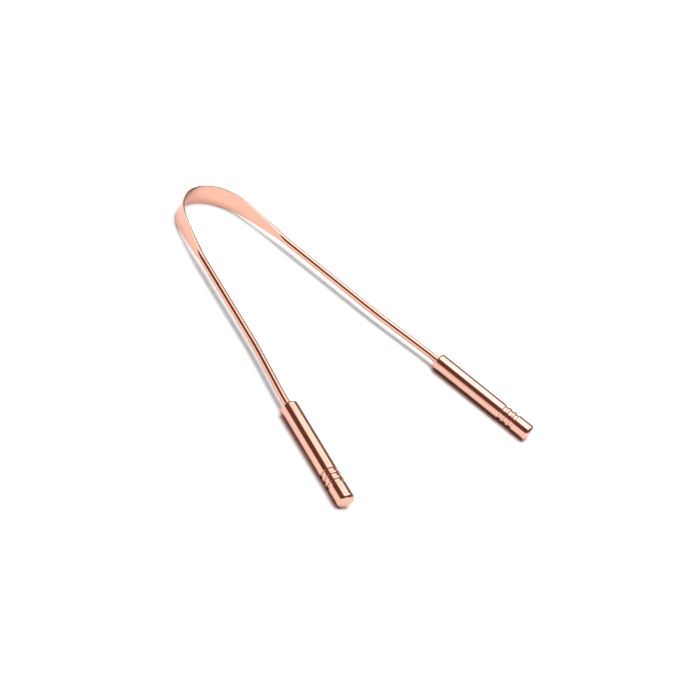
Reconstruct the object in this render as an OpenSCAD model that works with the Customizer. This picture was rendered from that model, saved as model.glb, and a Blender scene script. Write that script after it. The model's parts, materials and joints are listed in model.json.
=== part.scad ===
// Tongue scraper: one copper rod, hammered flat at its crown and bent to a U,
// with a turned copper handle pressed onto each of its ends.
// It lies on its side, as on a table: +Y towards the crown, +Z up, X across the arms,
// with the origin at the middle of the space that it covers, on the table.

/* [Crown] */
// Width of the hammered band at the middle of the crown
band_w = 7.6; // [4.5:0.1:11]
// Radius of the crown, to the middle of the metal
crown_r = 16; // [12:0.5:22]
// Angle that the crown turns on each side of its middle
crown_turn = 70.5; // [60:0.5:76]
// Length from the crown's middle that keeps the full width
full_len = 3.5; // [1:0.5:8]
// Length from the crown's middle to where the flattening has faded into the rod
fade_end = 38; // [28:1:46]
// How soon the flattening fades, below 1 for late
fade_share = 0.7; // [0.5:0.05:1.5]

/* [Rod] */
// Diameter of the rod
rod_d = 2.4; // [1.8:0.1:3.2]
// Radius of the soft shoulder below the crown
shoulder_r = 170; // [90:5:400]
// Angle that the shoulder turns
shoulder_turn = 6; // [2:0.5:9]
// Length of the straight upper arm
upper_len = 36.5; // [25:0.5:60]
// Radius of the bend that sweeps the arm outwards
sweep_r = 120; // [60:5:300]
// Angle that the arm sweeps outwards
sweep_turn = 3.5; // [1:0.5:8]
// Length of the straight lower arm
lower_len = 16.5; // [8:0.5:40]
// Radius of the bend that tucks the arm in again
tuck_r = 60; // [30:5:150]
// Angle that the arm tucks in
tuck_turn = 3.2; // [1:0.2:8]
// Length of rod that shows between the last bend and the handle
tail_len = 3; // [1:0.5:12]
// Diameter of the tang, turned down so that the rod's shoulder seats on the handle
tang_d = 2.2; // [1.4:0.1:2.6]
// Length of the tang that is pressed into the handle
tang_len = 12; // [6:0.5:20]
// Lead-in chamfer on the end of the tang
tang_lead = 0.3; // [0.1:0.05:0.5]

/* [Handles] */
// Diameter of a handle
handle_d = 6; // [5:0.1:9]
// Length of a handle
handle_len = 39.5; // [34:0.5:60]
// Chamfer round the mouth of the handle, where the rod goes in
mouth_chamfer = 0.4; // [0.2:0.05:0.8]
// Chamfer round the handle's free end
tip_chamfer = 0.6; // [0.4:0.1:1.4]
// Room for filings between the end of the rod and the drilled point
bore_spare = 0.5; // [0.2:0.1:1.5]
// Half angle of the drilled point at the bottom of the bore
drill_half_angle = 59; // [45:1:70]
// Number of turned grooves
groove_count = 3; // [1:1:5]
// Width of each groove
groove_w = 1.25; // [0.6:0.05:1.6]
// Width of the ridge that is left between two grooves
ridge_w = 0.9; // [0.4:0.05:1.5]
// Depth of each groove
groove_depth = 0.35; // [0.1:0.05:0.6]
// Chamfer on each edge of a groove
groove_edge = 0.08; // [0.02:0.02:0.15]
// Length of the plain land from the last groove to the free end
land_len = 6.2; // [3:0.1:10]

/* [Flex] */
// Width of the cut where the springy crown hands over to each arm
flex_gap = 0.1; // [0.06:0.02:0.2]

/* [Hidden] */
$fn = 64;
copper = [0.93, 0.62, 0.49];

// Counts of facets: round each section, and rings along the crown, a fade and a bend
section_sides = 40;
crown_rings = 56;
fade_rings = 24;
bend_rings = 6;

rod_r = rod_d / 2;
tang_r = tang_d / 2;
handle_r = handle_d / 2;
band_half = band_w / 2;
metal_area = PI * pow(rod_r, 2);

// The path of the metal's middle from the crown outwards, as [length, turn] runs.
// A positive turn bends inwards, towards the other arm.
function arc_len(r, turn) = r * turn * PI / 180;
crown_len = arc_len(crown_r, crown_turn);
RUNS = [
    [crown_len, crown_turn],
    [arc_len(shoulder_r, shoulder_turn), shoulder_turn],
    [upper_len, 0],
    [arc_len(sweep_r, sweep_turn), -sweep_turn],
    [lower_len, 0],
    [arc_len(tuck_r, tuck_turn), tuck_turn],
    [tail_len, 0]
];
last_run = len(RUNS) - 1;

// Heading in degrees clockwise from +X, and the directions along and across it
function along(heading) = [cos(heading), -sin(heading)];
function across(heading) = [sin(heading), cos(heading)];
function run_start(i) = i == 0 ? 0 : run_start(i - 1) + RUNS[i - 1][0];
function run_heading(i) = i == 0 ? 0 : run_heading(i - 1) + RUNS[i - 1][1];
function step_of(i, d) =
    let (turn = RUNS[i][1] * d / RUNS[i][0], half = turn / 2)
    along(run_heading(i) + half) * (turn == 0 ? d : d * sin(half) / (half * PI / 180));
function run_place(i) = i == 0 ? [0, 0] : run_place(i - 1) + step_of(i - 1, RUNS[i - 1][0]);
function run_at(s, i = 0) = (i == last_run || s < run_start(i + 1)) ? i : run_at(s, i + 1);
function heading_at(s) =
    let (i = run_at(s)) run_heading(i) + RUNS[i][1] * (s - run_start(i)) / RUNS[i][0];
function place_at(s) = let (i = run_at(s)) run_place(i) + step_of(i, s - run_start(i));

handle_start = run_start(last_run) + RUNS[last_run][0];
handle_heading = heading_at(handle_start);
handle_place = place_at(handle_start);

// Section of the hammered rod at s along the path: a strip with round edges, whose
// half width grows into the band while its half thickness keeps the rod's metal
function ease(u) = u * u * (3 - 2 * u);
function fade(s) = min(max((s - full_len) / (fade_end - full_len), 0), 1);
function half_width(s) = rod_r + (band_half - rod_r) * pow(1 - ease(fade(s)), fade_share);
function half_thick(s) =
    let (a = half_width(s), k = 4 - PI)
    (2 * a - sqrt(max(4 * a * a - k * metal_area, 0))) / k;

// Corners of the section, on a polygon round its two round edges
function section(s) =
    let (a = half_width(s), b = half_thick(s), r = b / cos(180 / section_sides))
    [for (j = [0 : section_sides - 1])
        let (t = 360 * (j + 0.5) / section_sides)
        [r * sin(t), (a - b) * sign(cos(t)) + r * cos(t)]];

// One ring of the sweep, at s on the right side and at -s on the left
function ring(s) =
    let (side = s < 0 ? -1 : 1, p = place_at(abs(s)), n = across(heading_at(abs(s))))
    [for (c = section(abs(s))) [side * (p.x + c.x * n.x), p.y + c.x * n.y, c.y]];

// Stations from one length along the path to another, in equal steps
function stations(from, to, steps) = [for (i = [0 : steps]) from + (to - from) * i / steps];

// Stations of the round rod past the fade: the end of each straight and a few round each bend
function rod_stations() =
    [for (i = [1 : last_run])
        let (steps = RUNS[i][1] == 0 ? 1 : bend_rings, start = run_start(i))
        for (s = stations(start, start + RUNS[i][0], steps)) if (s > fade_end && s > start) s];

// The hammered and bent rod, swept through a ring at each station
module hammered(along_path) {
    n = section_sides;
    last = len(along_path) - 1;
    points = [for (s = along_path) each ring(s)];
    sides = [for (i = [0 : last - 1], j = [0 : n - 1])
        let (a = i * n + j, b = i * n + (j + 1) % n)
        each [[a, b, b + n], [a, b + n, a + n]]];
    near_cap = [for (j = [n - 1 : -1 : 0]) j];
    far_cap = [for (j = [0 : n - 1]) last * n + j];
    polyhedron(points, concat(sides, [near_cap, far_cap]), convexity = 8);
}

// How the U lies: its plane tips so that the band's edge and both handles touch the table
splay = 90 - handle_heading;
tip_place = handle_place + along(handle_heading) * handle_len;
foot_place = handle_place + along(handle_heading) * (handle_len - tip_chamfer);
tip_reach = -tip_place.y + (handle_r - tip_chamfer) * sin(splay);
crown_half_t = half_thick(0);
rest_tilt = atan((band_half - handle_r) / -foot_place.y);
rest_lift = (band_half - crown_half_t) * cos(rest_tilt) + crown_half_t;
rest_shift = (tip_reach - crown_half_t) / 2;

module as_laid() {
    translate([0, rest_shift, rest_lift]) rotate([rest_tilt, 0, 0]) children();
}

// Right arm in the U's own plane: the fading flat, the bent rod and its pressed tang
module arm() {
    hammered(concat(stations(crown_len + flex_gap / 2, fade_end, fade_rings), rod_stations()));
    in_handle() rotate_extrude() polygon([
        [0, -tang_d], [tang_r, -tang_d], [tang_r, tang_len - tang_lead],
        [tang_r - tang_lead, tang_len], [0, tang_len]]);
}

// The right handle's own frame: +Z from its mouth to its free end
module in_handle() {
    translate([handle_place.x, handle_place.y, 0])
        rotate([0, 0, -handle_heading]) rotate([0, 90, 0]) children();
}

// Outline of one groove whose far edge is at z, walked towards the free end
function groove(z) =
    let (floor_r = handle_r - groove_depth)
    [[handle_r, z - groove_w - groove_edge], [handle_r - groove_edge, z - groove_w],
     [floor_r, z - groove_w], [floor_r, z],
     [handle_r - groove_edge, z], [handle_r, z + groove_edge]];

module handle() {
    first_groove = handle_len - land_len - (groove_count - 1) * (groove_w + ridge_w);
    grooves = [for (i = [0 : groove_count - 1]) each groove(first_groove + i * (groove_w + ridge_w))];
    bore_len = tang_len + bore_spare;
    outline = concat(
        [[tang_r, 0], [handle_r - mouth_chamfer, 0], [handle_r, mouth_chamfer]],
        grooves,
        [[handle_r, handle_len - tip_chamfer], [handle_r - tip_chamfer, handle_len], [0, handle_len],
         [0, bore_len + tang_r / tan(drill_half_angle)], [tang_r, bore_len]]);
    in_handle() rotate_extrude() polygon(outline);
}

module scraping_band() {
    reach = crown_len - flex_gap / 2;
    color(copper) as_laid() hammered(stations(-reach, reach, crown_rings));
}

module right_arm() {
    color(copper) as_laid() arm();
}

module left_arm() {
    color(copper) as_laid() mirror([1, 0, 0]) arm();
}

module right_handle() {
    color(copper) as_laid() handle();
}

module left_handle() {
    color(copper) as_laid() mirror([1, 0, 0]) handle();
}

scraping_band();
left_arm();
right_arm();
left_handle();
right_handle();
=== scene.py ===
"""Tongue scraper: a springy copper bow and two turned copper handles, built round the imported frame."""

import json
import math

import bmesh
import bpy
from bpy.props import FloatProperty, FloatVectorProperty, IntProperty, PointerProperty
from mathutils import Matrix, Vector


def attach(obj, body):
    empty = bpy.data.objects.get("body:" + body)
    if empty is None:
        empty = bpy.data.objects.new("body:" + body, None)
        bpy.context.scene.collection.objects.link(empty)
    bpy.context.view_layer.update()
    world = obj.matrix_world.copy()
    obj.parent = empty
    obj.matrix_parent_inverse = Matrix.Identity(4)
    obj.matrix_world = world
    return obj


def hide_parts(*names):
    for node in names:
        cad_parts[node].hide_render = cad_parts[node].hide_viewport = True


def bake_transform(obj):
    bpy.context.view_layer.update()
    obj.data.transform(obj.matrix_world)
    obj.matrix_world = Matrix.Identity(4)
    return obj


bl_info = {
    "name": "Copper Tongue Scraper",
    "version": (1, 0, 0),
    "blender": (4, 5, 0),
    "location": "3D View > Sidebar > Scraper",
    "description": "Hammered copper bow and turned handles on the packed tongue scraper",
    "category": "Add Mesh",
}

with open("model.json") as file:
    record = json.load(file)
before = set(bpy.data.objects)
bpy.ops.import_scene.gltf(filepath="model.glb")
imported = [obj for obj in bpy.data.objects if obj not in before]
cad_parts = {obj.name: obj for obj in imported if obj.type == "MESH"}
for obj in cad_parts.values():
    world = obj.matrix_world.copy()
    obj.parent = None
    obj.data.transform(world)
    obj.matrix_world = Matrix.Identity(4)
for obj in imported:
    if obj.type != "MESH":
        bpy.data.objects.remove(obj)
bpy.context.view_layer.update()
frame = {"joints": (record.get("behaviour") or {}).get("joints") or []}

MM = 0.001
CREASE = math.radians(40)  # an edge that turns further than this shades as a crease
SEAM_GUARD = 0.02 * MM  # from the seam to the next ring, so that both sides of the seam shade alike
CORNER_GUARD = 0.04 * MM  # from a turned corner to the ring that keeps the wall beside it flat
OUTSIDE = 1e-5  # how far past the bore's wall a point counts as the handle's outside
OWN_FRAME = "own_frame"
SPOKE = "spoke"


def joint(name):
    """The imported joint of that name."""
    return next(j for j in frame["joints"] if j["name"] == name)


# Sizes and finishes a user can change

def length(label, text, mm, **more):
    return FloatProperty(name=label, description=text, default=mm * MM, unit="LENGTH", precision=5, **more)


def angle(label, text, degrees, **more):
    return FloatProperty(name=label, description=text, default=math.radians(degrees), subtype="ANGLE", **more)


def share(label, text, value, **more):
    return FloatProperty(name=label, description=text, default=value, min=0, **more)


def colour(label, text, rgb):
    return FloatVectorProperty(name=label, description=text, default=rgb, subtype="COLOR", size=3, min=0, max=4)


class BowSizes(bpy.types.PropertyGroup):
    """The rod, its hammered crown and the way it is bent."""
    rod_d: length("Rod diameter", "Diameter of the round rod", 2.4)
    band_w: length("Band width", "Width of the hammered band at the crown", 7.6)
    full_len: length("Full width length", "Length from the crown that keeps the full width", 3.5)
    fade_end: length("Fade end", "Length from the crown to where the flats run out", 38)
    fade_share: share("Fade share", "How soon the flats narrow, below 1 for late", 0.7)
    crown_rim: angle("Crown rim", "How far the rim of the crown turns each way from level", 3)
    flat_rim: angle("Flat rim", "How far the rim of the fading flats turns each way from level", 37)
    rim_start: length("Rim start", "Length from the crown where its rim starts to turn further", 15)
    rim_turned: length("Rim turned", "Length from the crown where it has become the flats' rim", 25)
    flat_end: length("Flat end", "Length from the crown where the rims start to close into the round rod", 33.5)
    rim_drop: length("Rim drop", "How far the inner edge of the crown's rim lies below its outer edge", 0.05)
    crown_r: length("Crown radius", "Radius of the crown to the middle of the metal", 16)
    crown_turn: angle("Crown angle", "Angle that the crown turns on each side", 70.5)
    shoulder_r: length("Shoulder radius", "Radius of the soft shoulder", 170)
    shoulder_turn: angle("Shoulder angle", "Angle that the shoulder turns", 6)
    upper_len: length("Upper arm", "Length of the straight upper arm", 36.5)
    sweep_r: length("Sweep radius", "Radius of the outward bend", 120)
    sweep_turn: angle("Sweep angle", "Angle that the arm sweeps outwards", 3.5)
    lower_len: length("Lower arm", "Length of the straight lower arm", 16.5)
    tuck_r: length("Tuck radius", "Radius of the inward bend", 60)
    tuck_turn: angle("Tuck angle", "Angle that the arm tucks in", 3.2)
    tail_len: length("Tail", "Straight length before the handle", 3)
    tang_d: length("Tang diameter", "Diameter of the turned-down end in the handle", 2.2)
    tang_len: length("Tang length", "Length of the rod inside the handle", 12)
    tang_lead: length("Tang lead-in", "Chamfer on the end of the tang", 0.3)
    seam_at: length("Seam", "Length from the crown where the arms' mesh takes over from the band's", 12)
    ring_step: length("Ring step", "Length between two rings of the mesh", 0.5)
    ring_sides: IntProperty(name="Ring sides", description="Corners of each ring", default=54, min=16)
    flat_cuts: IntProperty(name="Flat cuts", description="Cuts across each hammered flat", default=5, min=1)


class HandleSizes(bpy.types.PropertyGroup):
    """The turned handles."""
    handle_d: length("Diameter", "Diameter of a handle", 6)
    handle_len: length("Length", "Length of a handle", 39.5)
    mouth_round: length("Mouth round", "Round edge of the mouth, where the rod goes in", 0.8)
    tip_round: length("Tip round", "Round edge of the free end", 1.05)
    bore_spare: length("Bore spare", "Room past the end of the rod", 0.5)
    drill_half_angle: angle("Drill half angle", "Half angle of the drilled point", 59)
    groove_count: IntProperty(name="Grooves", description="Number of turned grooves", default=3, min=0)
    groove_w: length("Groove width", "Width of a groove", 1.25)
    ridge_w: length("Ridge width", "Width of the ridge between two grooves", 0.9)
    groove_depth: length("Groove depth", "Depth of a groove", 0.35)
    land_len: length("Land", "Plain length from the last groove to the free end", 6.2)
    groove_round: length("Groove round", "Softening of the grooves' edges", 0.11)
    spin_steps: IntProperty(name="Spin steps", description="Facets round a handle", default=112, min=24)


class CopperFinish(bpy.types.PropertyGroup):
    """Polished copper, drawn on the bow and turned on the handles."""
    metal: colour("Turned copper", "Colour of the handles' clean copper", (0.965, 0.55, 0.435))
    bow_metal: colour("Drawn copper", "Colour of the bow's clean copper", (0.955, 0.53, 0.40))
    tarnish: colour("Tarnish", "Colour of the warm tarnish film", (0.88, 0.43, 0.30))
    # Painted shade with a dull film: this colour darkens the grooves' corners
    groove_shade_and_film: colour("Groove film", "Colour of the dull film in the grooves' corners", (0.46, 0.20, 0.13))
    bow_rough: share("Bow roughness", "Roughness of the drawn and hammered bow", 0.075, max=1)
    handle_rough: share("Handle roughness", "Roughness of the turned handles", 0.095, max=1)
    line_depth: length("Line depth", "Height of the fine drawing and turning lines", 0.0008)
    dent_depth: length("Dent depth", "Height of the faint planishing marks", 0.003)


class StudioLight(bpy.types.PropertyGroup):
    """The photographer's table."""
    table: colour("Table", "Colour of the pale table, for the light that it bounces", (0.58, 0.60, 0.61))
    table_seen: colour("Table seen", "Colour of the table in the picture, lifted to plain white", (1.22, 1.22, 1.22))
    table_mirrored: colour("Table mirrored", "Colour of the table in the metal", (0.975, 0.925, 0.905))
    # Painted shade: the table as the metal mirrors it turns to this dark colour close to the metal
    painted_contact_shade: colour("Contact", "Colour of the table in the metal where the two nearly touch", (0.08, 0.05, 0.04))
    # Painted shade, reddened in place of light bounced off the copper, on the table beside a handle
    painted_contact_shade_seen: colour("Contact seen", "Reddened colour of the table beside a handle", (1.24, 0.86, 0.78))
    contact_reach: length("Contact reach", "How near the metal the mirrored table lies in deep shadow", 4)
    key_strength: FloatProperty(name="Key", description="Strength of the overhead lamp", default=1.95, min=0)
    key_colour: colour("Key colour", "Colour of the overhead lamp", (1.0, 0.98, 0.97))
    key_angle: angle("Key size", "Angle that the overhead lamp covers", 55)
    key_tilt: angle("Key tilt", "Angle that the lamp leans away from the camera", 5)
    fill_high: colour("High fill", "Soft light from overhead", (1.01, 1.22, 1.31))
    fill_low: colour("Low fill", "Soft light from the sides", (0.05, 0.03, 0.025))
    ceiling: colour("Ceiling", "Brightness of the overhead panel's middle", (1.6, 1.8, 2.05))
    ceiling_end: colour("Ceiling end", "Brightness of the overhead panel's far end", (1.42, 1.40, 1.41))
    room: colour("Room", "Dim warm room behind the camera, seen in the metal", (0.13, 0.06, 0.04))
    far_room: colour("Far room", "Dim grey room beyond the object, seen low in the metal", (0.24, 0.235, 0.225))
    far_dark: colour("Far dark", "Dark room above that", (0.11, 0.10, 0.09))
    horizon: colour("Horizon", "White sweep seen low in the metal", (0.98, 0.98, 0.98))


class ScraperSettings(bpy.types.PropertyGroup):
    """Everything the operators read."""
    bow: PointerProperty(type=BowSizes)
    handle: PointerProperty(type=HandleSizes)
    finish: PointerProperty(type=CopperFinish)
    studio: PointerProperty(type=StudioLight)


# The path of the metal in the bow's own plane, and how that plane lies

def eased(value, low, high):
    """0 below low, 1 above high and a smooth step between."""
    u = min(max((value - low) / (high - low), 0), 1)
    return u * u * (3 - 2 * u)


class BowPath:
    """The middle of the metal, from the crown at 0; lengths on the left side are negative."""

    def __init__(self, bow):
        self.bow = bow
        self.runs = [
            (bow.crown_r * bow.crown_turn, bow.crown_turn),
            (bow.shoulder_r * bow.shoulder_turn, bow.shoulder_turn),
            (bow.upper_len, 0),
            (bow.sweep_r * bow.sweep_turn, -bow.sweep_turn),
            (bow.lower_len, 0),
            (bow.tuck_r * bow.tuck_turn, bow.tuck_turn),
            (bow.tail_len, 0),
        ]
        self.handle_start = sum(run[0] for run in self.runs)
        hinge = joint("right_flex")
        tilt = math.atan2(hinge["axis"][1], -hinge["axis"][2])
        _, at = self.walk(self.runs[0][0])
        turn = Matrix.Rotation(tilt, 4, "X")
        self.laid = Matrix.Translation(Vector(hinge["pos_m"]) - turn @ Vector((at.x, at.y, 0))) @ turn

    def walk(self, s):
        """Heading, clockwise from +X, and place in the plane at s."""
        heading, place, left = 0.0, Vector((0, 0)), abs(s)
        for i, (run, turn) in enumerate(self.runs):
            d = left if i == len(self.runs) - 1 else min(left, run)
            part = turn * d / run
            chord = d * math.sin(part / 2) / (part / 2) if part else d
            place = place + chord * Vector((math.cos(heading + part / 2), -math.sin(heading + part / 2)))
            heading, left = heading + part, left - d
            if left <= 0:
                break
        if s < 0:
            heading, place = -heading, Vector((-place.x, place.y))
        return heading, place

    def stand(self, s):
        """Matrix of the section at s: X outwards, Y up the band, Z along the metal."""
        heading, place = self.walk(s)
        out, along = (math.sin(heading), math.cos(heading)), (math.cos(heading), -math.sin(heading))
        flat = Matrix(((out[0], 0, along[0], place.x), (out[1], 0, along[1], place.y),
                       (0, 1, 0, 0), (0, 0, 0, 1)))
        return self.laid @ flat

    def section(self, s):
        """Half width and half thickness at s, which keep the rod's area of metal, and the rim's angle and drop."""
        bow = self.bow
        rod = bow.rod_d / 2
        wide = rod + (bow.band_w / 2 - rod) * (1 - eased(abs(s), bow.full_len, bow.fade_end)) ** bow.fade_share
        k = 4 - math.pi
        thick = (2 * wide - math.sqrt(max(4 * wide * wide - k * math.pi * rod * rod, 0))) / k
        past = eased(abs(s), bow.rim_start, bow.rim_turned)
        rim = bow.crown_rim + (bow.flat_rim - bow.crown_rim) * past
        rim += (math.pi / 2 - rim) * eased(abs(s), bow.flat_end, bow.fade_end)
        return wide, thick, rim, bow.rim_drop * (1 - past)


# Mesh helpers

def unit_ring(bm, sides):
    """A unit circle of vertices that know their spoke, with the layer that keeps each one's own place."""
    spoke, own = bm.verts.layers.int.new(SPOKE), bm.verts.layers.float_vector.new(OWN_FRAME)
    made = bmesh.ops.create_circle(bm, segments=sides, radius=1)["verts"]
    bmesh.ops.rotate(bm, matrix=Matrix.Rotation(math.pi / sides, 3, "Z"), verts=made)
    for i, v in enumerate(made):
        v[spoke] = i
    return made, [v.co.copy() for v in made], spoke, own


def lay_ring(bm, ring, unit, spoke, own, s, half_width, half_thick, rim, drop, place):
    """Gives the ring the section's shape, two flats and two arched rims, and stands it at its place."""
    last = max(math.atan2(abs(co.x), abs(co.y)) for co in unit)
    arch = half_thick / math.sin(rim * last / (math.pi / 2))
    for v in ring:
        co = unit[v[spoke]]
        lean = rim * math.atan2(co.x, abs(co.y)) / (math.pi / 2)
        out = arch * math.sin(lean)
        height = half_width - arch * (1 - math.cos(lean)) - drop * (1 - out / half_thick) / 2
        v.co = (out, math.copysign(height, co.y), 0)
        v[own] = (v.co.x, v.co.y, s)
    bmesh.ops.transform(bm, matrix=place, verts=ring)


def sweep(path, rings):
    """Extrudes a ring along the path; rings holds (s, half width, half thickness, rim, drop) from end to end."""
    bow = path.bow
    bm = bmesh.new()
    ring, unit, spoke, own = unit_ring(bm, bow.ring_sides)
    edges = bm.edges[:]
    lay_ring(bm, ring, unit, spoke, own, *rings[0], path.stand(rings[0][0]))
    caps = [edges]
    for laid in rings[1:]:
        made = bmesh.ops.extrude_edge_only(bm, edges=edges)["geom"]
        ring = [g for g in made if isinstance(g, bmesh.types.BMVert)]
        new = set(ring)
        edges = [g for g in made if isinstance(g, bmesh.types.BMEdge) and set(g.verts) <= new]
        lay_ring(bm, ring, unit, spoke, own, *laid, path.stand(laid[0]))
    caps.append(edges)
    rims = [e for end in caps for e in end]
    bmesh.ops.holes_fill(bm, edges=rims, sides=0)
    # The two long edges that cross each flat are cut, so that the flats shade as flats
    half = bow.ring_sides // 2
    across = []
    for e in bm.edges:
        a, b = sorted(v[spoke] for v in e.verts)
        if (a, b) in ((0, bow.ring_sides - 1), (half - 1, half)) and len(e.link_faces) == 2:
            across.append(e)
    bmesh.ops.subdivide_edges(bm, edges=across, cuts=bow.flat_cuts, use_grid_fill=True)
    return bm


def spun(points, steps):
    """A closed turned solid from half its outline, as (radius, height) pairs from axis to axis."""
    bm = bmesh.new()
    own = bm.verts.layers.float_vector.new(OWN_FRAME)
    verts = [bm.verts.new((r, 0, z)) for r, z in points]
    edges = [bm.edges.new(pair) for pair in zip(verts, verts[1:])]
    bmesh.ops.spin(bm, geom=verts + edges, axis=(0, 0, 1), cent=(0, 0, 0), steps=steps,
                   angle=math.tau, use_merge=True)
    bmesh.ops.remove_doubles(bm, verts=bm.verts[:], dist=1e-7)
    bmesh.ops.recalc_face_normals(bm, faces=bm.faces[:])
    return bm, own


def finish_mesh(bm, name, material, sharp=None, place=None, mirrored=False):
    """Makes the mesh an object at the origin, smooth but for its sharp edges."""
    if place is not None:
        bmesh.ops.transform(bm, matrix=place, verts=bm.verts[:])
    if mirrored:
        bmesh.ops.scale(bm, vec=(-1, 1, 1), verts=bm.verts[:])
    bmesh.ops.recalc_face_normals(bm, faces=bm.faces[:])
    for f in bm.faces:
        f.smooth = True
    for e in bm.edges:
        e.smooth = not (sharp and len(e.link_faces) == 2 and e.calc_face_angle() > sharp)
    mesh = bpy.data.meshes.new(name)
    bm.to_mesh(mesh)
    bm.free()
    mesh.materials.append(material)
    piece = bpy.data.objects.new(name, mesh)
    bpy.context.scene.collection.objects.link(piece)
    return piece


# Shader helpers

class Wire:
    """One output of a node; arithmetic on wires adds the Math nodes."""

    def __init__(self, bench, socket):
        self.bench, self.socket = bench, socket

    def _math(self, operation, *values):
        return self.bench.add("ShaderNodeMath", {"operation": operation}, dict(enumerate(values)))

    def __add__(self, other): return self._math("ADD", self, other)
    def __radd__(self, other): return self._math("ADD", other, self)
    def __sub__(self, other): return self._math("SUBTRACT", self, other)
    def __rsub__(self, other): return self._math("SUBTRACT", other, self)
    def __mul__(self, other): return self._math("MULTIPLY", self, other)
    def __rmul__(self, other): return self._math("MULTIPLY", other, self)
    def __truediv__(self, other): return self._math("DIVIDE", self, other)
    def __rtruediv__(self, other): return self._math("DIVIDE", other, self)
    def at_most(self, other): return self._math("MINIMUM", self, other)
    def at_least(self, other): return self._math("MAXIMUM", self, other)
    def size(self): return self._math("ABSOLUTE", self)
    def within(self, pitch): return self._math("MODULO", self, pitch)


class Bench:
    """Builds one node tree."""

    def __init__(self, tree):
        self.tree = tree
        tree.nodes.clear()

    def add(self, kind, settings=None, sockets=None, out=0):
        """A node with its settings made first, then its sockets set or linked; gives one output."""
        node = self.tree.nodes.new(kind)
        for name, value in (settings or {}).items():
            setattr(node, name, value)
        for key, value in (sockets or {}).items():
            if isinstance(value, Wire):
                self.tree.links.new(value.socket, node.inputs[key])
            else:
                node.inputs[key].default_value = value
        return Wire(self, node.outputs[out]) if len(node.outputs) else node

    def smooth(self, value, low, high):
        """0 below low, 1 above high and a smooth step between."""
        return self.add("ShaderNodeMapRange", {"interpolation_type": "SMOOTHSTEP", "clamp": True},
                        {"Value": value, "From Min": low, "From Max": high, "To Min": 0.0, "To Max": 1.0})

    def mix(self, share_, a, b):
        """Colour a to colour b."""
        rgba = lambda c: c if isinstance(c, Wire) else (*c[:3], 1.0)
        return self.add("ShaderNodeMix", {"data_type": "RGBA"}, {0: share_, 6: rgba(a), 7: rgba(b)}, out=2)

    def stretched(self, vector, factors):
        return self.add("ShaderNodeVectorMath", {"operation": "MULTIPLY"}, {0: vector, 1: factors})

    def split(self, vector):
        node = self.add("ShaderNodeSeparateXYZ", None, {0: vector}).socket.node
        return [Wire(self, socket) for socket in node.outputs]

    def noise(self, vector, scale, detail=2.0, rough=0.5):
        return self.add("ShaderNodeTexNoise", {"noise_dimensions": "3D"},
                        {"Vector": vector, "Scale": scale, "Detail": detail, "Roughness": rough})


def new_material(name):
    material = bpy.data.materials.new(name)
    material.use_nodes = True
    return material, Bench(material.node_tree)


def metal_surface(bench, base, rough, height, depth):
    """Polished metal with fine relief, as deep as depth."""
    bump = bench.add("ShaderNodeBump", None, {"Height": height, "Distance": depth, "Strength": 1.0})
    shader = bench.add("ShaderNodeBsdfPrincipled", None,
                       {"Base Color": base, "Roughness": rough, "Metallic": 1.0, "Normal": bump})
    bench.add("ShaderNodeOutputMaterial", None, {"Surface": shader})


def bow_copper(finish):
    """The bow: polished rod with lengthwise drawing lines, faint hammer marks on its flats."""
    material, bench = new_material("bow_copper")
    own = bench.add("ShaderNodeAttribute", {"attribute_name": OWN_FRAME}, out=1)
    mm = bench.stretched(own, (1 / MM,) * 3)
    lines = bench.noise(bench.stretched(mm, (5.0, 5.0, 0.16)), 1.0, 3.0, 0.6)
    dents = bench.noise(bench.stretched(mm, (0.42, 0.42, 0.3)), 1.0, 1.0)
    smudge = bench.noise(bench.stretched(mm, (0.22, 0.22, 0.11)), 1.0, 3.0, 0.55)
    film = bench.smooth(smudge, 0.42, 0.78)
    base = bench.mix(film * 0.30, finish.bow_metal, finish.tarnish)
    rough = finish.bow_rough + (lines - 0.5) * 0.07 + film * 0.06
    height = lines * (finish.line_depth / finish.dent_depth) + dents
    metal_surface(bench, base, rough.at_least(0.03), height, finish.dent_depth)
    return material


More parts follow.
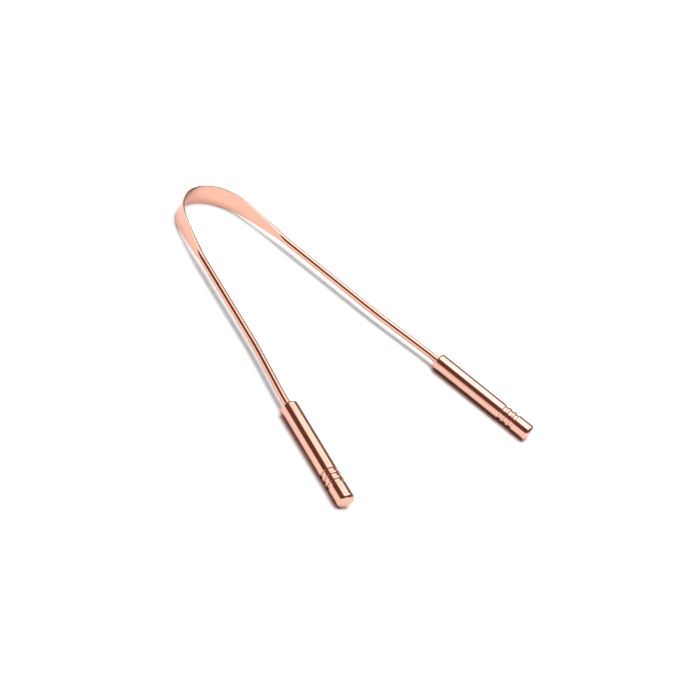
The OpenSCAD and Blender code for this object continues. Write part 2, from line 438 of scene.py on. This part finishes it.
def handle_copper(finish, handle):
    """The handles: turned and polished, with rings round the axis, and painted shade with a dull film in the
    grooves' corners.
    """
    material, bench = new_material("handle_copper")
    own = bench.add("ShaderNodeAttribute", {"attribute_name": OWN_FRAME}, out=1)
    mm = bench.stretched(own, (1 / MM,) * 3)
    x, y, z = bench.split(mm)
    radius = bench.add("ShaderNodeVectorMath", {"operation": "LENGTH"},
                       {0: bench.stretched(mm, (1.0, 1.0, 0.0))}, out=1)
    travel = z + radius
    ring_place = bench.add("ShaderNodeCombineXYZ", None, {0: x * 0.05, 1: y * 0.05, 2: travel})
    rings = bench.noise(bench.stretched(ring_place, (1.0, 1.0, 9.0)), 1.0, 3.0, 0.6)
    waves = bench.noise(bench.stretched(ring_place, (1.0, 1.0, 0.7)), 1.0, 1.0)
    smudge = bench.noise(bench.stretched(mm, (0.3, 0.3, 0.14)), 1.0, 3.0, 0.55)
    film = bench.smooth(smudge, 0.42, 0.78)
    # The painted shade and dull film keep to the corners at the foot of each groove's walls
    land, wide, ridge = (size / MM for size in (handle.handle_d / 2, handle.groove_w, handle.ridge_w))
    last = (handle.handle_len - handle.land_len) / MM
    first = last - handle.groove_count * (wide + ridge) + ridge
    pitch = wide + ridge
    along = (z - first + 10 * pitch).within(pitch)
    foot = along.at_most((along - wide).size())
    in_grooves = bench.smooth(z, first - 0.2, first - 0.1) * (1 - bench.smooth(z, last + 0.1, last + 0.2))
    # deep marks the grooves' corners, where shade is painted into the colour and the film dulls the copper
    deep = (1 - bench.smooth(foot, 0.08, 0.22)) * (1 - bench.smooth(radius, land - 0.2, land - 0.08)) * in_grooves
    base = bench.mix(film * 0.30, finish.metal, finish.tarnish)
    # Painted shade in the grooves' corners
    base = bench.mix(deep * 0.8, base, finish.groove_shade_and_film)
    rough = finish.handle_rough + (rings - 0.5) * 0.10 + film * 0.05 + deep * 0.12
    height = rings * (finish.line_depth / finish.dent_depth) + waves * 0.4
    metal_surface(bench, base, rough.at_least(0.03), height, finish.dent_depth)
    return material


def table_white(studio):
    material, bench = new_material("table_white")
    path = bench.add("ShaderNodeLightPath").socket.node
    camera, bounces, mirrors = (
        Wire(bench, path.outputs[n]) for n in ("Is Camera Ray", "Diffuse Depth", "Glossy Depth"))
    # Painted shade: ambient occlusion darkens the table near the metal where the metal mirrors it, and reddens it
    # where the camera sees it, in place of shadow and light bounced off the copper. The shade is tuned to the
    # photograph: the handles have it, and it fades out towards the crown
    open_ = bench.add("ShaderNodeAmbientOcclusion", {"samples": 8}, {"Distance": studio.contact_reach}, out=1)
    along_table = bench.split(bench.add("ShaderNodeTexCoord", None, None, out=3))[1]
    crown_end = bench.smooth(along_table, -0.02, 0.02)
    bare = bench.smooth(open_, 0.3, 0.85).at_least(mirrors - 1).at_least(crown_end)
    # Painted shade in the metal's mirror image of the table
    mirrored = bench.mix(bare, studio.painted_contact_shade, studio.table_mirrored)
    clear = bench.smooth(open_, 0.15, 0.6).at_least(crown_end)
    # Painted reddish shade where the camera sees the table beside a handle
    shown = bench.mix(clear, studio.painted_contact_shade_seen, studio.table_seen)
    seen = bench.mix(camera, mirrored, shown)
    shader = bench.add("ShaderNodeBsdfDiffuse", None, {"Color": bench.mix(bounces.at_most(1), seen, studio.table)})
    bench.add("ShaderNodeOutputMaterial", None, {"Surface": shader})
    return material


# Operators

class ScraperOperator:
    bl_options = {"REGISTER", "UNDO"}

    @property
    def settings(self):
        return bpy.context.scene.scraper

    def copper(self, kind):
        """The material of that name, made once."""
        made = bpy.data.materials.get(kind)
        if made is None:
            made = bow_copper(self.settings.finish) if kind == "bow_copper" else \
                handle_copper(self.settings.finish, self.settings.handle)
        return made


class SCRAPER_OT_band(ScraperOperator, bpy.types.Operator):
    """Hammer the crown of the bow into the thin scraping band"""
    bl_idname = "scraper.band"
    bl_label = "Scraping Band"

    def execute(self, context):
        bow = self.settings.bow
        path = BowPath(bow)
        end, near = bow.seam_at, bow.seam_at - SEAM_GUARD
        steps = math.ceil(2 * near / bow.ring_step)
        places = [-end, *(-near + 2 * near * i / steps for i in range(steps + 1)), end]
        bm = sweep(path, [(s, *path.section(s)) for s in places])
        piece = finish_mesh(bm, "hammered_band", self.copper("bow_copper"), sharp=CREASE)
        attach(piece, "crown")
        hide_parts("scraping_band")
        return {"FINISHED"}


class SCRAPER_OT_arms(ScraperOperator, bpy.types.Operator):
    """Bend the two rods from the band down to their tangs"""
    bl_idname = "scraper.arms"
    bl_label = "Rods"

    def execute(self, context):
        bow = self.settings.bow
        path = BowPath(bow)
        first, near = bow.seam_at, bow.seam_at + SEAM_GUARD
        last = path.handle_start
        steps = math.ceil((last - near) / bow.ring_step)
        tang = bow.tang_d / 2
        places = [first, *(near + (last - near) * i / steps for i in range(steps + 1))]
        rings = [(s, *path.section(s)) for s in places]
        tang_end = tang - bow.tang_lead
        rings += [(s, r, r, math.pi / 2, 0) for s, r in (
            (last, tang), (last + bow.tang_len - bow.tang_lead, tang), (last + bow.tang_len, tang_end))]
        hinge = path.runs[0][0]
        for side, sign in (("left", -1), ("right", 1)):
            bm = sweep(path, rings)
            piece = finish_mesh(bm, side + "_rod", self.copper("bow_copper"), sharp=CREASE,
                                mirrored=sign < 0)
            start, end = (path.stand(sign * s).translation for s in (first, 2 * hinge - first))
            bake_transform(piece)
            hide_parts(side + "_arm")
        return {"FINISHED"}


class SCRAPER_OT_handles(ScraperOperator, bpy.types.Operator):
    """Turn the two grooved handles and press them on the rods"""
    bl_idname = "scraper.handles"
    bl_label = "Handles"

    def outline(self, h, bow):
        """Half outline of a handle, from the bottom of its bore round to the middle of its free end."""
        r, tang, floor = h.handle_d / 2, bow.tang_d / 2, h.handle_d / 2 - h.groove_depth
        bore = bow.tang_len + h.bore_spare
        points = [(0, bore + tang / math.tan(h.drill_half_angle)), (tang, bore), (tang, 0), (r, 0)]
        start = h.handle_len - h.land_len - h.groove_count * h.groove_w - (h.groove_count - 1) * h.ridge_w
        for i in range(h.groove_count):
            a = start + i * (h.groove_w + h.ridge_w)
            b = a + h.groove_w
            points += [(r, a), (floor, a), (floor, b), (r, b)]
        return points + [(r, h.handle_len), (0, h.handle_len)]

    def execute(self, context):
        h, bow = self.settings.handle, self.settings.bow
        path = BowPath(bow)
        for side, sign in (("left", -1), ("right", 1)):
            bm, own = spun(self.outline(h, bow), h.spin_steps)
            mouth, grooves, tip = [], [], []
            for e in bm.edges:
                a, b = (v.co for v in e.verts)
                if abs(a.z - b.z) > 1e-7 or len(e.link_faces) != 2 or e.calc_face_angle() < math.radians(20):
                    continue
                if a.xy.length > bow.tang_d / 2 + OUTSIDE:
                    (mouth if a.z < MM else tip if a.z > h.handle_len - MM else grooves).append(e)
            rounds = ((mouth, h.mouth_round, 8), (grooves, h.groove_round, 3), (tip, h.tip_round, 9))
            for edges, width, segments in rounds:
                bmesh.ops.bevel(bm, geom=edges, offset=width, offset_type="OFFSET", segments=segments,
                                profile=0.5, affect="EDGES", material=-1)
            corners = sorted({round(v.co.z, 6) for v in bm.verts if v.co.xy.length > bow.tang_d / 2 + OUTSIDE})
            for low, high in zip(corners, corners[1:]):
                if high - low > 3 * CORNER_GUARD:
                    for z in (low + CORNER_GUARD, high - CORNER_GUARD):
                        bmesh.ops.bisect_plane(bm, geom=bm.verts[:] + bm.edges[:] + bm.faces[:], dist=1e-8,
                                               plane_co=(0, 0, z), plane_no=(0, 0, 1))
            for v in bm.verts:
                v[own] = v.co
            place = path.stand(path.handle_start)
            piece = finish_mesh(bm, side + "_grip", self.copper("handle_copper"), sharp=CREASE,
                                place=place, mirrored=sign < 0)
            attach(piece, side + "_side")
            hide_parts(side + "_handle")
        return {"FINISHED"}


class SCRAPER_OT_stage(ScraperOperator, bpy.types.Operator):
    """Lay the white table, hang the soft overhead light and set the camera"""
    bl_idname = "scraper.stage"
    bl_label = "Table and Light"

    # Where the photograph was taken from, fitted to the object's outline
    AZIMUTH, ELEVATION, ROLL = (math.radians(a) for a in (62.576, 33.891, 31.080))
    DISTANCE, TARGET = 0.6385, (0.00961, -0.01070, 0.0)
    LENS, SENSOR = 99.842, 36.0

    def execute(self, context):
        studio = self.settings.studio
        self.floor(studio)
        self.lamp(studio)
        self.world(studio)
        self.camera()
        context.scene.view_settings.view_transform = "Standard"
        return {"FINISHED"}

    def floor(self, studio):
        bm = bmesh.new()
        bmesh.ops.create_circle(bm, cap_ends=True, segments=64, radius=4.0)
        piece = finish_mesh(bm, "table", table_white(studio))

    def lamp(self, studio):
        lamp = bpy.data.lights.new("overhead", "SUN")
        lamp.energy, lamp.color, lamp.angle = studio.key_strength, studio.key_colour, studio.key_angle
        hung = bpy.data.objects.new("overhead", lamp)
        hung.visible_glossy = False
        aim = Vector((math.sin(self.AZIMUTH), math.cos(self.AZIMUTH), 0)) * math.tan(studio.key_tilt)
        hung.rotation_euler = (aim + Vector((0, 0, 1))).to_track_quat("Z", "Y").to_euler()
        bpy.context.scene.collection.objects.link(hung)

    def world(self, studio):
        """White behind the object, an even fill, and the panel, room and sweep that the metal mirrors."""
        world = bpy.data.worlds.new("studio")
        world.use_nodes = True
        bpy.context.scene.world = world
        bench = Bench(world.node_tree)
        x, y, z = bench.split(bench.add("ShaderNodeTexCoord", None, None, out=0))
        up = z.at_least(0.02)
        # Where a mirrored ray meets a level plane one unit above the object
        u, v = x / up, y / up
        panel = bench.smooth(u, -0.60, -0.25) * (1 - bench.smooth(u, 0.95, 1.22)) \
            * (1 - bench.smooth(v, 0.67, 0.90)) * bench.smooth(v, -0.45, -0.15)
        near = 1 - bench.smooth(x + y * 0.5, -0.1, 0.3)
        sweep_ = (1 - bench.smooth(z + y * 0.13, 0.10, 0.26)) * (1 - bench.smooth(x, 0.0, 0.35))
        far = bench.mix(bench.smooth(z, 0.28, 0.5), studio.far_room, studio.far_dark)
        seen = bench.mix(near, far, studio.room)
        ceiling = bench.mix(bench.smooth(v, 0.15, 0.55), studio.ceiling, studio.ceiling_end)
        seen = bench.mix(panel, seen, ceiling)
        seen = bench.mix(sweep_, seen, studio.horizon)
        path = bench.add("ShaderNodeLightPath").socket.node
        camera, diffuse = (Wire(bench, path.outputs[n]) for n in ("Is Camera Ray", "Is Diffuse Ray"))
        fill = bench.mix(bench.smooth(z, 0.6, 0.95), studio.fill_low, studio.fill_high)
        shown = bench.mix(diffuse, seen, fill)
        shown = bench.mix(camera, shown, (1.0, 1.0, 1.0))
        back = bench.add("ShaderNodeBackground", None, {"Color": shown, "Strength": 1.0})
        bench.add("ShaderNodeOutputWorld", None, {"Surface": back})

    def camera(self):
        camera = bpy.data.cameras.new("camera")
        camera.lens, camera.sensor_width, camera.sensor_fit = self.LENS, self.SENSOR, "HORIZONTAL"
        camera.clip_start, camera.clip_end = 0.01, 20
        holder = bpy.data.objects.new("camera", camera)
        az, el, roll = self.AZIMUTH, self.ELEVATION, self.ROLL
        look = Vector((math.sin(az) * math.cos(el), math.cos(az) * math.cos(el), -math.sin(el)))
        level = Vector((math.cos(az), -math.sin(az), 0))
        rise = level.cross(look)
        right = level * math.cos(roll) + rise * math.sin(roll)
        top = rise * math.cos(roll) - level * math.sin(roll)
        place = Vector(self.TARGET) - look * self.DISTANCE
        turn = Matrix((right, top, -look)).transposed().to_4x4()
        holder.matrix_world = Matrix.Translation(place) @ turn
        bpy.context.scene.collection.objects.link(holder)
        bpy.context.scene.camera = holder


class SCRAPER_PT_panel(bpy.types.Panel):
    """Sizes, finishes and steps of the tongue scraper"""
    bl_idname = "SCRAPER_PT_panel"
    bl_label = "Tongue Scraper"
    bl_space_type = "VIEW_3D"
    bl_region_type = "UI"
    bl_category = "Scraper"

    def draw(self, context):
        settings = context.scene.scraper
        for title, group in (("Bow", settings.bow), ("Handles", settings.handle), ("Copper", settings.finish),
                             ("Studio", settings.studio)):
            box = self.layout.box()
            box.label(text=title)
            for name in group.__annotations__:
                box.prop(group, name)
        for step in STEPS:
            self.layout.operator(step.bl_idname)


GROUPS = (BowSizes, HandleSizes, CopperFinish, StudioLight, ScraperSettings)
STEPS = (SCRAPER_OT_band, SCRAPER_OT_arms, SCRAPER_OT_handles, SCRAPER_OT_stage)


def register():
    for cls in (*GROUPS, *STEPS, SCRAPER_PT_panel):
        bpy.utils.register_class(cls)
    bpy.types.Scene.scraper = PointerProperty(type=ScraperSettings)


def unregister():
    del bpy.types.Scene.scraper
    for cls in reversed((*GROUPS, *STEPS, SCRAPER_PT_panel)):
        bpy.utils.unregister_class(cls)


def main():
    """Builds the whole scene."""
    register()
    for step in STEPS:
        group, name = step.bl_idname.split(".")
        if getattr(getattr(bpy.ops, group), name)() != {"FINISHED"}:
            raise RuntimeError(step.bl_label + " did not finish")


if __name__ == "__main__":
    main()
